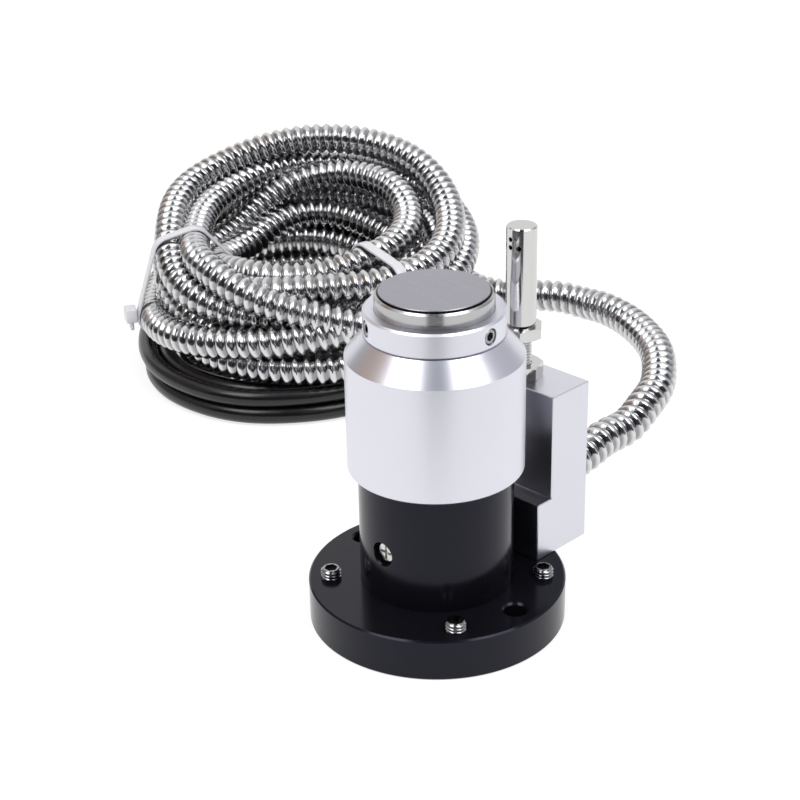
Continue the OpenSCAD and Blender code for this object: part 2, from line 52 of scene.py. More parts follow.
MM = 0.001
NOISE_MIDDLE = (0.3, 0.7)
Colour = tuple[float, float, float, float]


class Body(Enum):
    """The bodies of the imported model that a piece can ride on."""

    SETTER = "setter"
    PLUNGER = "plunger"
    NOZZLE = "nozzle"


# Node materials


class Shader:
    """A node material under construction, with Object coordinates at hand."""

    def __init__(self, name: str) -> None:
        """Starts a material.

        Args:
            name: Name of the material.
        """
        self.material = bpy.data.materials.new(name)
        self.material.use_nodes = True
        self.tree = self.material.node_tree
        self.surface = self.tree.nodes["Principled BSDF"]
        self.place = self.add("ShaderNodeTexCoord").outputs["Object"]

    def add(self, kind: str, **settings: object) -> bpy.types.Node:
        """Adds a node.

        Args:
            kind: Blender's name of the node type.
            settings: Properties to set on the node.

        Returns:
            The new node.
        """
        node = self.tree.nodes.new(kind)
        for key, value in settings.items():
            setattr(node, key, value)
        return node

    def feed(self, target: bpy.types.NodeSocket, value: object) -> None:
        """Links an output to an input, or sets the input's own value.

        Args:
            target: Input socket.
            value: Output socket, number or colour.
        """
        if isinstance(value, bpy.types.NodeSocket):
            self.tree.links.new(value, target)
        else:
            target.default_value = value

    def set(self, **values: object) -> None:
        """Sets inputs of the surface, with spaces in their names written as _.

        Args:
            values: Value or output socket for each input.
        """
        for key, value in values.items():
            self.feed(self.surface.inputs[key.replace("_", " ")], value)

    def math(self, operation: str, a: object, b: object = 0.0) -> bpy.types.NodeSocket:
        """Adds a Math node.

        Args:
            operation: The operation's name.
            a: First operand.
            b: Second operand.

        Returns:
            The result.
        """
        node = self.add("ShaderNodeMath", operation=operation)
        self.feed(node.inputs[0], a)
        self.feed(node.inputs[1], b)
        return node.outputs[0]

    def ramp(self, value: object, low: float, high: float, out_low: float,
             out_high: float) -> bpy.types.NodeSocket:
        """Maps a range onto another, smoothly and clamped.

        Args:
            value: What is mapped.
            low: Start of the range.
            high: End of the range.
            out_low: Result at the start.
            out_high: Result at the end.

        Returns:
            The mapped value.
        """
        node = self.add("ShaderNodeMapRange", interpolation_type="SMOOTHSTEP")
        for socket, number in zip(node.inputs[:5], (value, low, high, out_low, out_high)):
            self.feed(socket, number)
        return node.outputs[0]

    def spread(self, noise: bpy.types.NodeSocket, out_low: float, out_high: float) -> bpy.types.NodeSocket:
        """Maps the middle of a noise pattern, where most of it lies, onto a range."""
        return self.ramp(noise, *NOISE_MIDDLE, out_low, out_high)

    def mix(self, share: object, a: object, b: object) -> bpy.types.NodeSocket:
        """Mixes two colours.

        Args:
            share: Share of the second colour.
            a: First colour.
            b: Second colour.

        Returns:
            The mixed colour.
        """
        node = self.add("ShaderNodeMix", data_type="RGBA")
        for socket, value in zip((node.inputs[0], node.inputs[6], node.inputs[7]), (share, a, b)):
            self.feed(socket, value)
        return node.outputs[2]

    def noise(self, place: bpy.types.NodeSocket, per_metre: float,
              detail: float = 3.0) -> bpy.types.NodeSocket:
        """Adds a noise pattern.

        Args:
            place: Coordinates that the pattern lies on.
            per_metre: Number of features in a metre.
            detail: Octaves of finer noise.

        Returns:
            The noise, about 0 to 1.
        """
        node = self.add("ShaderNodeTexNoise")
        node.inputs["Scale"].default_value = per_metre
        node.inputs["Detail"].default_value = detail
        self.feed(node.inputs["Vector"], place)
        return node.outputs["Fac"]

    def along(self, axis: int) -> bpy.types.NodeSocket:
        """Returns one Object coordinate, 0 for X to 2 for Z."""
        node = self.add("ShaderNodeSeparateXYZ")
        self.feed(node.inputs[0], self.place)
        return node.outputs[axis]

    def radius(self) -> bpy.types.NodeSocket:
        """Returns the distance from the Z axis."""
        x, y = self.along(0), self.along(1)
        return self.math("SQRT", self.math("ADD", self.math("MULTIPLY", x, x), self.math("MULTIPLY", y, y)))

    def stretched(self, scale: tuple[float, float, float]) -> bpy.types.NodeSocket:
        """Returns the Object coordinates, scaled along each axis."""
        node = self.add("ShaderNodeMapping")
        node.inputs["Scale"].default_value = scale
        self.feed(node.inputs["Vector"], self.place)
        return node.outputs[0]

    def bump(self, height: bpy.types.NodeSocket, depth: float) -> None:
        """Puts a bump on the surface.

        Args:
            height: Pattern, 0 to 1.
            depth: Depth of the pattern in metres.
        """
        node = self.add("ShaderNodeBump")
        node.inputs["Distance"].default_value = depth
        self.feed(node.inputs["Height"], height)
        self.set(Normal=node.outputs[0])


def rgb(red: float, green: float, blue: float) -> Colour:
    """Returns an opaque colour."""
    return (red, green, blue, 1.0)


def darker(colour: Colour, share: float) -> Colour:
    """Returns a colour at a share of its brightness."""
    return tuple(share * c for c in colour[:3]) + (1.0,)


@dataclass(frozen=True)
class Anodised:
    """Anodised aluminium with a fine blasted grain."""

    name: str
    colour: Colour
    metallic: float
    roughness: float
    specular: float = 0.5
    sheen: Colour = (1.0, 1.0, 1.0, 1.0)
    grain_per_m: float = 2600.0
    grain_depth: float = 0.004 * MM
    cloud_per_m: float = 60.0
    cloud_shade: float = 0.93
    cloud_roughness: float = 0.03

    def material(self) -> bpy.types.Material:
        """Returns the material."""
        s = Shader(self.name)
        grain = s.noise(s.place, self.grain_per_m)
        cloud = s.noise(s.place, self.cloud_per_m)
        dark = darker(self.colour, self.cloud_shade)
        change = self.cloud_roughness
        s.set(Base_Color=s.mix(cloud, dark, self.colour), Metallic=self.metallic,
              Roughness=s.spread(cloud, self.roughness - change, self.roughness + change),
              Specular_IOR_Level=self.specular, Specular_Tint=self.sheen)
        s.bump(grain, self.grain_depth)
        return s.material


@dataclass(frozen=True)
class TurnedAluminium:
    """Clear anodised aluminium with lathe marks, glossier on a cut shoulder."""

    name: str
    colour: Colour
    roughness: float
    shoulder_roughness: float
    shoulder: tuple[float, float]
    shoulder_edge: float = 0.05 * MM
    mark_per_m: float = 5200.0
    mark_depth: float = 0.0025 * MM
    cloud_per_m: float = 45.0
    cloud_shade: float = 0.96

    def material(self) -> bpy.types.Material:
        """Returns the material."""
        s = Shader(self.name)
        z = s.along(2)
        row = s.add("ShaderNodeCombineXYZ")
        s.feed(row.inputs[0], s.math("ADD", z, s.radius()))
        marks = s.noise(row.outputs[0], self.mark_per_m, detail=2.0)
        low, high = self.shoulder
        edge = self.shoulder_edge
        above = s.ramp(z, low - edge, low + edge, 0.0, 1.0)
        below = s.ramp(z, high - edge, high + edge, 1.0, 0.0)
        on_shoulder = s.math("MULTIPLY", above, below)
        cloud = s.noise(s.place, self.cloud_per_m)
        dark = darker(self.colour, self.cloud_shade)
        s.set(Base_Color=s.mix(cloud, dark, self.colour), Metallic=1.0,
              Roughness=s.ramp(on_shoulder, 0.0, 1.0, self.roughness, self.shoulder_roughness))
        s.bump(marks, self.mark_depth)
        return s.material


@dataclass(frozen=True)
class BrightSteel:
    """Polished, ground or turned metal with faint marks, and painted shade within a radius if one is given.
    """

    name: str
    colour: Colour
    roughness: float
    stretch: tuple[float, float, float] = (1.0, 1.0, 1.0)
    mark_per_m: float = 900.0
    mark_depth: float = 0.002 * MM
    mark_shade: float = 0.9
    mark_roughness: tuple[float, float] = (0.8, 1.25)
    gap_shade_within: float = 0.0
    gap_shade_edge: float = 0.05 * MM
    gap_shade_colour: Colour = (0.01, 0.01, 0.012, 1.0)

    def material(self) -> bpy.types.Material:
        """Returns the material."""
        s = Shader(self.name)
        marks = s.noise(s.stretched(self.stretch), self.mark_per_m)
        colour = s.mix(marks, darker(self.colour, self.mark_shade), self.colour)
        # Painted shade: near black within the radius, for the gap round the carbide disc.
        if self.gap_shade_within:
            start, end = self.gap_shade_within - self.gap_shade_edge, self.gap_shade_within + self.gap_shade_edge
            colour = s.mix(s.ramp(s.radius(), start, end, 0.0, 1.0), self.gap_shade_colour, colour)
        least, most = self.mark_roughness
        s.set(Base_Color=colour, Metallic=1.0,
              Roughness=s.spread(marks, least * self.roughness, most * self.roughness))
        s.bump(marks, self.mark_depth)
        return s.material


@dataclass(frozen=True)
class LappedCarbide:
    """Lapped carbide: a flat grey top, and painted shade on the rim below its edge."""

    name: str
    colour: Colour
    rim_shade_colour: Colour
    top: float
    metallic: float = 0.85
    rim_drop: tuple[float, float] = (0.16 * MM, 0.08 * MM)
    roughness: float = 0.3
    sheen_roughness: float = 0.04
    sheen_per_m: float = 700.0
    sheen_stretch: tuple[float, float, float] = (1.0, 0.12, 1.0)
    speck_per_m: float = 4200.0
    speck_shade: float = 0.9
    speck_depth: float = 0.001 * MM

    def material(self) -> bpy.types.Material:
        """Returns the material."""
        s = Shader(self.name)
        speck = s.noise(s.place, self.speck_per_m, detail=4.0)
        sheen = s.noise(s.stretched(self.sheen_stretch), self.sheen_per_m, detail=2.0)
        low, high = self.rim_drop
        face = s.ramp(s.along(2), self.top - low, self.top - high, 0.0, 1.0)
        lapped = s.mix(speck, darker(self.colour, self.speck_shade), self.colour)
        change = self.sheen_roughness
        # Painted shade: the rim below the top face is near black.
        s.set(Base_Color=s.mix(face, self.rim_shade_colour, lapped), Metallic=self.metallic,
              Roughness=s.spread(sheen, self.roughness - change, self.roughness + change))
        s.bump(speck, self.speck_depth)
        return s.material


@dataclass(frozen=True)
class StripWound:
    """Bright stripwound steel, with painted shade down the flanks and in the valleys of its ridge."""

    name: str
    colour: Colour
    painted_flank_shade_colour: Colour
    roughness: float
    painted_shade_attribute: str = "flank"
    painted_shade_ramp: tuple[float, float] = (0.25, 0.85)
    cloud_per_m: float = 260.0
    cloud_shade: float = 0.86
    cloud_roughness: tuple[float, float] = (-0.03, 0.05)

    def material(self) -> bpy.types.Material:
        """Returns the material."""
        s = Shader(self.name)
        flank = s.add("ShaderNodeAttribute", attribute_name=self.painted_shade_attribute).outputs["Fac"]
        cloud = s.noise(s.place, self.cloud_per_m)
        # Painted shade: the ridge's flanks and valleys are mixed towards a dark colour.
        painted_shade_share = s.ramp(flank, *self.painted_shade_ramp, 0.0, 1.0)
        dull = darker(self.colour, self.cloud_shade)
        least, most = self.cloud_roughness
        s.set(Base_Color=s.mix(painted_shade_share, s.mix(cloud, dull, self.colour), self.painted_flank_shade_colour),
              Metallic=1.0,
              Roughness=s.spread(cloud, self.roughness + least, self.roughness + most))
        return s.material


@dataclass(frozen=True)
class Plain:
    """Plastic, rubber or board material with a slight grain."""

    name: str
    colour: Colour
    roughness: float
    specular: float = 0.5
    transmission: float = 0.0
    grain_per_m: float = 1500.0
    grain_depth: float = 0.003 * MM
    cloud_per_m: float = 90.0
    cloud_shade: float = 0.88
    cloud_roughness: float = 0.04

    def material(self) -> bpy.types.Material:
        """Returns the material."""
        s = Shader(self.name)
        grain = s.noise(s.place, self.grain_per_m)
        cloud = s.noise(s.place, self.cloud_per_m)
        dark = darker(self.colour, self.cloud_shade)
        change = self.cloud_roughness
        s.set(Base_Color=s.mix(cloud, dark, self.colour),
              Roughness=s.spread(cloud, self.roughness - change, self.roughness + change),
              Specular_IOR_Level=self.specular, Transmission_Weight=self.transmission)
        s.bump(grain, self.grain_depth)
        return s.material


CAP_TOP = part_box("cap")[1].z
DISC_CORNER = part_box("carbide_disc")[1]
SHOULDER_H = 5.3 * MM
DISC_GAP = 0.35 * MM

BLACK_ANODISED = Anodised("black_hard_coat", rgb(0.006, 0.006, 0.009), 0.0, 0.16, specular=0.24,
                          sheen=rgb(0.78, 0.8, 1.0))
SILVER_TURNED = TurnedAluminium("silver_turned", rgb(0.72, 0.72, 0.785), 0.38, 0.3,
                                (CAP_TOP - SHOULDER_H, CAP_TOP))
SILVER_MILLED = Anodised("silver_milled", rgb(0.68, 0.685, 0.745), 1.0, 0.34)
POLISHED_STEEL = BrightSteel("steel_polished", rgb(0.61, 0.605, 0.6), 0.1, (1.0, 1.0, 0.06))
# The holder is near black inside the disc's edge and gap: painted shade.
GROUND_STEEL = BrightSteel("steel_ground", rgb(0.47, 0.47, 0.475), 0.2, (1.0, 1.0, 8.0),
                           gap_shade_within=DISC_CORNER.x + DISC_GAP)
SCREW_STEEL = BrightSteel("steel_screw", rgb(0.66, 0.66, 0.65), 0.2)
DARK_STEEL = BrightSteel("steel_dark", rgb(0.36, 0.36, 0.37), 0.13)
SPRING_STEEL = BrightSteel("steel_spring", rgb(0.45, 0.45, 0.47), 0.3)
BRONZE = BrightSteel("bronze_turned", rgb(0.55, 0.36, 0.16), 0.32, (1.0, 1.0, 8.0))
CARBIDE = LappedCarbide("carbide_lapped", rgb(0.345, 0.34, 0.385), rgb(0.025, 0.025, 0.028), DISC_CORNER.z)
ARMOUR = StripWound("steel_stripwound", rgb(0.7, 0.7, 0.705), rgb(0.25, 0.25, 0.26), 0.17)
CABLE_JACKET = Plain("jacket_black", rgb(0.004, 0.004, 0.005), 0.26)
SEAL_RUBBER = Plain("rubber_black", rgb(0.015, 0.015, 0.015), 0.62)
BOARD_GREEN = Plain("board_lacquer", rgb(0.02, 0.14, 0.06), 0.4)
SENSOR_PLASTIC = Plain("plastic_black", rgb(0.016, 0.016, 0.018), 0.5)
CLEAR_NYLON = Plain("tie_nylon", rgb(0.93, 0.93, 0.97), 0.3, transmission=0.12)


# Meshes


def new_piece(name: str, mesh_or_curve: bpy.types.ID, finish: object, body: Body) -> bpy.types.Object:
    """Puts a finished mesh or curve into the scene as a piece of the object.

    Args:
        name: Name of the piece.
        mesh_or_curve: Its data.
        finish: Finish that makes its material.
        body: Body that it rides on.

    Returns:
        The new object.
    """
    piece = bpy.data.objects.new(name, mesh_or_curve)
    bpy.context.scene.collection.objects.link(piece)
    piece.data.materials.append(dressed(finish))
    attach(piece, body.value)
    LOG.info("piece %s", name)
    return piece


@cache
def dressed(finish: object) -> bpy.types.Material:
    """Returns a finish's material, made the first time that it is asked for."""
    return finish.material()


def mesh_from(bm: bmesh.types.BMesh, name: str) -> bpy.types.Mesh:
    """Turns a bmesh into a mesh with smooth faces and frees it.

    Args:
        bm: The bmesh.
        name: Name of the mesh.

    Returns:
        The mesh.
    """
    mesh = bpy.data.meshes.new(name)
    bm.to_mesh(mesh)
    bm.free()
    mesh.polygons.foreach_set("use_smooth", [True] * len(mesh.polygons))
    return mesh


def smooth_line(points: np.ndarray, spacing: float, steps_per_point: int = 12) -> np.ndarray:
    """Runs a smooth curve through points and walks along it.

    Args:
        points: Points that the curve goes through, one row each.
        spacing: Distance between the results.
        steps_per_point: Steps that the curve is measured in, for each point.

    Returns:
        Evenly spaced points on the curve.
    """
    knots = lengths_along(points)
    fine = hermite(knots, points, np.linspace(0.0, knots[-1], steps_per_point * len(points)))
    walked = lengths_along(fine)
    count = max(2, round(walked[-1] / spacing) + 1)
    steps = np.linspace(0.0, walked[-1], count)
    return np.stack([np.interp(steps, walked, fine[:, axis]) for axis in range(3)], axis=1)


def lengths_along(points: np.ndarray) -> np.ndarray:
    """Returns the length of a line of points up to each of them."""
    return np.concatenate([[0.0], np.cumsum(np.linalg.norm(np.diff(points, axis=0), axis=1))])


def hermite(knots: np.ndarray, values: np.ndarray, wanted: np.ndarray) -> np.ndarray:
    """Interpolates rows of values with a smooth cubic.

    Args:
        knots: Where the values are known, in rising order.
        values: One row for each knot.
        wanted: Where values are wanted.

    Returns:
        One row for each wanted place.
    """
    slopes = np.gradient(values, knots, axis=0)
    left = np.clip(np.searchsorted(knots, wanted, side="right") - 1, 0, len(knots) - 2)
    step = (knots[left + 1] - knots[left])[:, None]
    t = (wanted - knots[left])[:, None] / step
    from_left = (2 * t**3 - 3 * t**2 + 1) * values[left] + (t**3 - 2 * t**2 + t) * step * slopes[left]
    right = left + 1
    return from_left + (3 * t**2 - 2 * t**3) * values[right] + (t**3 - t**2) * step * slopes[right]


def tube_frames(line: np.ndarray) -> tuple[np.ndarray, np.ndarray]:
    """Returns the sideways and upward directions along a line that is never upright."""
    ahead = np.gradient(line, axis=0)
    ahead /= np.linalg.norm(ahead, axis=1)[:, None]
    across = np.cross(ahead, (0.0, 0.0, 1.0))
    across /= np.linalg.norm(across, axis=1)[:, None]
    return across, np.cross(across, ahead)


# The lead and its coil


@dataclass
class CoilFrame:
    """Where the coil lies, and the direction that its quarter turns are counted from."""

    centre: tuple[float, float] = (86.0, 139.0)
    view_turn: float = 45.0

    def points(self, angles: np.ndarray, radius: np.ndarray, height: np.ndarray) -> np.ndarray:
        """Places points on the coil.

        Args:
            angles: Degrees, with 90 at the coil's back and 270 at its front as the camera sees it.
            radius: Distance from the coil's axis in millimetres.
            height: Height above the table in millimetres.

        Returns:
            Points in millimetres, one row each.
        """
        turn = np.radians(angles - self.view_turn)
        x = self.centre[0] + radius * np.cos(turn)
        y = self.centre[1] + radius * np.sin(turn)
        return np.stack([x, y, height], axis=1)


COIL = CoilFrame()


@dataclass
class ArmouredLead:
    """The stripwound conduit: a loose loop from the block, then nine turns in a leaning heap."""

    diameter: float = 10.0
    ridge_pitch: float = 3.3
    ridge_depth: float = 1.2
    ridge_fullness: float = 0.8
    rings_per_ridge: int = 6
    sides: int = 18
    flank_shade: float = 0.3
    valley_shade: float = 0.75
    lift: float = 0.6
    route: tuple[tuple[float, float, float], ...] = (
        (45, 0, 21), (55, 0, 21), (66, 1, 22), (76, 1, 22), (86, 3, 24), (95, 6, 25),
        (103, 11, 26), (110, 17, 27), (116, 24, 27), (121, 32, 27), (125, 41, 27),
        (127, 50, 27), (128, 59, 26), (127, 67, 26), (125, 75, 25), (122, 82, 24), (119, 88, 24),
        (118, 95, 24), (120, 102, 24), (126, 110, 24), (133, 117, 25), (140, 124, 26), (144, 133, 27),
        (144, 143, 27), (142, 151, 27), (137, 158, 26), (130, 166, 26),
    )
    # Radius and height at the back, back left, left, front left, front, front right, right, back right
    turns: tuple[tuple[tuple[float, float], ...], ...] = (
        ((54.5, 26.5), (54, 21), (49, 19), (52.5, 21.5), (52, 26.5), (51.5, 32), (50.5, 38), (49.5, 45)),
        ((49.5, 47.5), (40.5, 44), (34.5, 41.5), (41, 41), (50, 34), (53.5, 25.5), (43, 37), (44.5, 37.5)),
        ((45, 38), (47.5, 35.5), (44, 34), (44.5, 24), (43, 17), (43, 17.5), (43, 18), (41.5, 19.5)),
        ((36.5, 16), (41, 16.5), (40, 16.5), (38.5, 16), (33, 18), (33, 18), (33.5, 18), (34.5, 22)),
        ((36.5, 25.5), (37, 25), (33, 21.5), (33, 23.5), (33, 28), (33, 28), (33.5, 28), (34.5, 32)),
        ((37.5, 34), (30.5, 28.5), (28.5, 31), (29.5, 36), (32, 38), (33.5, 42), (33, 45), (35, 49)),
        ((41, 45.5), (38, 31.5), (36, 31), (37, 32.5), (41.2, 37.5), (48.5, 40), (46, 46), (45.5, 55.5)),
        ((47.5, 57), (47.5, 50), (42.5, 43.5), (46, 33), (42, 27), (42.5, 27.5), (43, 28), (42.5, 28.5)),
        ((45.5, 28), (47, 26.5), (43.5, 25.5), (45.5, 15.8), (50.5, 16), (52, 16.3), (52, 16.5), (51, 17)),
    )
    end_station: tuple[float, float] = (50.0, 17.0)
    start_angle: float = 90.0
    station_step: float = 45.0
    point_step: float = 7.5
    line_step: float = 0.8
    path_stride: int = 4

    def stations(self) -> tuple[np.ndarray, np.ndarray]:
        """Returns the coil's stations: their angles, and their radius and height."""
        values = np.array([pair for turn in self.turns for pair in turn] + [self.end_station], float)
        return self.start_angle + self.station_step * np.arange(len(values)), values

    def section(self, angle: float) -> np.ndarray:
        """Returns the radius and height of every turn where a plane at an angle cuts the coil."""
        angles, values = self.stations()
        wanted = np.arange(angle % 360.0, angles[-1], 360.0)
        return hermite(angles, values, wanted[wanted >= angles[0]]) + np.array((0.0, self.lift))

    def centreline(self) -> np.ndarray:
        """Returns the conduit's centreline in millimetres, from the block to the ferrule."""
        angles, values = self.stations()
        wanted = np.arange(angles[0], angles[-1] + 0.1, self.point_step)
        radius, height = hermite(angles, values, wanted).T
        points = np.vstack([np.array(self.route, float), COIL.points(wanted, radius, height)])
        return smooth_line(points, self.line_step) + np.array((0.0, 0.0, self.lift))

    def mesh(self, line: np.ndarray) -> bpy.types.Mesh:
        """Sweeps a tube along the centreline, with rings that follow its helical ridge.

        Args:
            line: Centreline in millimetres.

        Returns:
            The mesh, in metres, with painted shade for the ridge's flanks and valleys held in an attribute.
        """
        walked = lengths_along(line)
        per_ridge = self.rings_per_ridge
        rings = per_ridge * math.ceil(walked[-1] / self.ridge_pitch + 1.0)
        bm = bmesh.new()
        bmesh.ops.create_grid(bm, x_segments=rings, y_segments=self.sides, size=0.5)
        mesh = mesh_from(bm, "armour_conduit")
        flat = np.zeros(3 * len(mesh.vertices))
        mesh.vertices.foreach_get("co", flat)
        flat = flat.reshape(-1, 3)
        ring = np.rint((flat[:, 0] + 0.5) * rings)
        share = np.rint((flat[:, 1] + 0.5) * self.sides) / self.sides
        place = np.clip((ring / per_ridge - share) * self.ridge_pitch, 0.0, walked[-1])
        centre, across, upward = (
            np.stack([np.interp(place, walked, rows[:, axis]) for axis in range(3)], axis=1)
            for rows in (line, *tube_frames(line)))
        wave = 2.0 * math.pi * (place / self.ridge_pitch + share)
        rise = (0.5 - 0.5 * np.cos(wave)) ** self.ridge_fullness
        radius = self.diameter / 2 - self.ridge_depth * (1.0 - rise)
        turn = 2.0 * math.pi * share
        spoke = across * np.cos(turn)[:, None] + upward * np.sin(turn)[:, None]
        mesh.vertices.foreach_set("co", (MM * (centre + radius[:, None] * spoke)).ravel())
        # Painted shade: how dark each point is, strongest down the flanks and in the valleys.
        flank = mesh.attributes.new(ARMOUR.painted_shade_attribute, "FLOAT", "POINT")
        dark = self.flank_shade * np.sin(wave) ** 2 + self.valley_shade * (1.0 - rise)
        flank.data.foreach_set("value", dark.astype(np.float32))
        return self.closed(mesh)

    def closed(self, mesh: bpy.types.Mesh) -> bpy.types.Mesh:
        """Joins the seam along a swept grid and closes its two ends.

        Args:
            mesh: The grid in its tube form.

        Returns:
            The same mesh, closed, with its faces pointing outwards.
        """
        bm = bmesh.new()
        bm.from_mesh(mesh)
        bmesh.ops.remove_doubles(bm, verts=bm.verts, dist=0.001 * MM)
        bmesh.ops.holes_fill(bm, edges=[e for e in bm.edges if e.is_boundary], sides=0)
        bmesh.ops.recalc_face_normals(bm, faces=bm.faces)
        bm.to_mesh(mesh)
        bm.free()
        return mesh

    def build(self) -> bpy.types.Object:
        """Returns:
            The conduit's object.
        """
        line = self.centreline()
        piece = new_piece("armour_conduit", self.mesh(line), ARMOUR, Body.SETTER)
        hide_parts("armour_lead", "armour_coil")
        return piece


@dataclass
class SignalCable:
    """The bare black cable that leaves the ferrule and lies in a flat coil under the heap."""

    diameter: float = 5.5
    # Angle, radius and height, from the ferrule down and round
    route: tuple[tuple[float, float, float], ...] = (
        (109, 50.8, 17), (130, 51, 15), (150, 51.5, 12.8), (180, 52, 9.8), (225, 55, 8.5),
        (250, 55, 8.3), (270, 52, 8.3), (315, 46.5, 8.25), (360, 46, 8.25), (450, 48, 8.25),
        (540, 46.3, 8.25), (585, 49.3, 8.25), (610, 49.3, 8.25), (630, 46.3, 8.25), (675, 40.8, 8.25),
        (720, 40.3, 8.25), (810, 42.3, 8.25), (900, 40, 5), (990, 42, 2.95), (1080, 41, 2.95),
        (1170, 44, 2.95), (1260, 49.5, 2.95), (1305, 54.5, 2.95), (1330, 55, 2.95), (1350, 52.5, 2.95),
        (1395, 47, 2.95), (1440, 46, 2.95), (1530, 48, 2.95), (1560, 48, 2.95),
    )
    point_step: float = 7.5
    line_step: float = 3.0
    round_steps: int = 5

    def centreline(self) -> np.ndarray:
        """Returns the cable's centreline in millimetres."""
        stations = np.array(self.route, float)
        wanted = np.arange(stations[0, 0], stations[-1, 0] + 0.1, self.point_step)
        radius, height = hermite(stations[:, 0], stations[:, 1:], wanted).T
        return COIL.points(wanted, radius, height)

    def build(self) -> bpy.types.Object:
        """Returns:
            The cable's object.
        """
        line = MM * smooth_line(self.centreline(), self.line_step)
        curve = bpy.data.curves.new("signal_cable", "CURVE")
        curve.dimensions = "3D"
        curve.bevel_depth = MM * self.diameter / 2
        curve.bevel_resolution = self.round_steps
        curve.use_fill_caps = True
        spline = curve.splines.new("POLY")
        spline.points.add(len(line) - 1)
        spline.points.foreach_set("co", np.column_stack([line, np.ones(len(line))]).ravel())
        spline.use_smooth = True
        piece = new_piece("signal_cable", curve, CABLE_JACKET, Body.SETTER)
        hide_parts("cable_coil")
        return piece


@dataclass
class CoilTies:
    """Clear nylon ties, each pulled tight round every turn of the heap at one angle."""

    lead: ArmouredLead
    angles: tuple[float, ...] = (197.0, 306.0)
    heads: tuple[tuple[float, float], ...] = ((57.5, 21.5), (60.8, 22.0))
    width: float = 3.4
    thickness: float = 0.8
    edge_round: float = 0.2
    circle_points: int = 40
    head_size: tuple[float, float, float] = (3.6, 5.0, 4.6)
    tail_thickness: float = 1.2
    tail_length: float = 3.0
    tail_drop: float = 3.6
    head_round: float = 0.5

    def loop(self, angle: float) -> bmesh.types.BMesh:
        """Stretches a band round the turns.

        Args:
            angle: Where the tie lies, in the coil's own degrees.

        Returns:
            The band as an open strip, in metres.
        """
        bm = bmesh.new()
        turn = math.radians(angle - COIL.view_turn)
        outward = Vector((math.cos(turn), math.sin(turn), 0.0))
        along = Vector((-outward.y, outward.x, 0.0))
        middle = Vector((*COIL.centre, 0.0))
        turned = Matrix((along, outward, Vector((0, 0, 1)))).transposed().to_4x4()
        upright = turned @ Matrix.Rotation(math.pi / 2, 4, "Y")
        for radius, height in self.lead.section(angle).tolist():
            for side in (-0.5, 0.5):
                place = middle + radius * outward + Vector((0, 0, height)) + side * self.width * along
                bmesh.ops.create_circle(bm, segments=self.circle_points, radius=self.lead.diameter / 2,
                                        matrix=Matrix.Translation(place) @ upright)
        hull = bmesh.ops.convex_hull(bm, input=bm.verts)
        loose = [v for v in hull["geom_interior"] if isinstance(v, bmesh.types.BMVert)]
        bmesh.ops.delete(bm, geom=loose, context="VERTS")
        ends = [f for f in bm.faces if abs(f.normal.dot(along)) > 0.9]
        bmesh.ops.delete(bm, geom=ends, context="FACES")
        bmesh.ops.delete(bm, geom=[e for e in bm.edges if not e.link_faces], context="EDGES")
        bmesh.ops.scale(bm, vec=(MM, MM, MM), verts=bm.verts)
        bmesh.ops.recalc_face_normals(bm, faces=bm.faces)
        return bm

    def build(self) -> bpy.types.Object:
        """Builds the ties as one piece.

        Returns:
            The ties' object.
        """
        both = bmesh.new()
        for angle in self.angles:
            strip = mesh_from(self.loop(angle), "tie_strip")
            both.from_mesh(strip)
            bpy.data.meshes.remove(strip)
        piece = new_piece("coil_ties", mesh_from(both, "coil_ties"), CLEAR_NYLON, Body.SETTER)
        wall = piece.modifiers.new("wall", "SOLIDIFY")
        wall.thickness = MM * self.thickness
        wall.offset = 1.0
        edge = piece.modifiers.new("edge", "BEVEL")
        edge.width = MM * self.edge_round
        edge.segments = 2
        edge.limit_method = "ANGLE"
        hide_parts("cable_ties")
        new_piece("tie_heads", self.head_mesh(), CLEAR_NYLON, Body.SETTER)
        return piece

    def head_mesh(self) -> bpy.types.Mesh:
        """Returns the ties' heads, each with the cut end of its strap, in metres."""
        bm = bmesh.new()
        tail_size = (self.tail_thickness, self.width, self.tail_length)
        for angle, (radius, height) in zip(self.angles, self.heads):
            turn = Matrix.Rotation(math.radians(angle - COIL.view_turn), 4, "Z")
            middle = Vector((*COIL.centre, height)) + turn @ Vector((radius, 0.0, 0.0))
            for size, drop in ((self.head_size, 0.0), (tail_size, self.tail_drop)):
                at = Matrix.Translation(MM * (middle + turn @ Vector((0.0, 0.0, -drop)))) @ turn
                grown = Matrix.Diagonal((*(MM * side for side in size), 1.0))
                bmesh.ops.create_cube(bm, size=1.0, matrix=at @ grown)
        bmesh.ops.bevel(bm, geom=bm.edges, offset=MM * self.head_round, offset_type="OFFSET", affect="EDGES",
                        segments=2, profile=0.5, material=-1)
        return mesh_from(bm, "tie_heads")


# Screw threads


LEVEL_CIRCLE_R = 26
LEVEL_ANGLES = (48, 137, -127, -50)
STUD_PLACE = (30.3, 0.0)


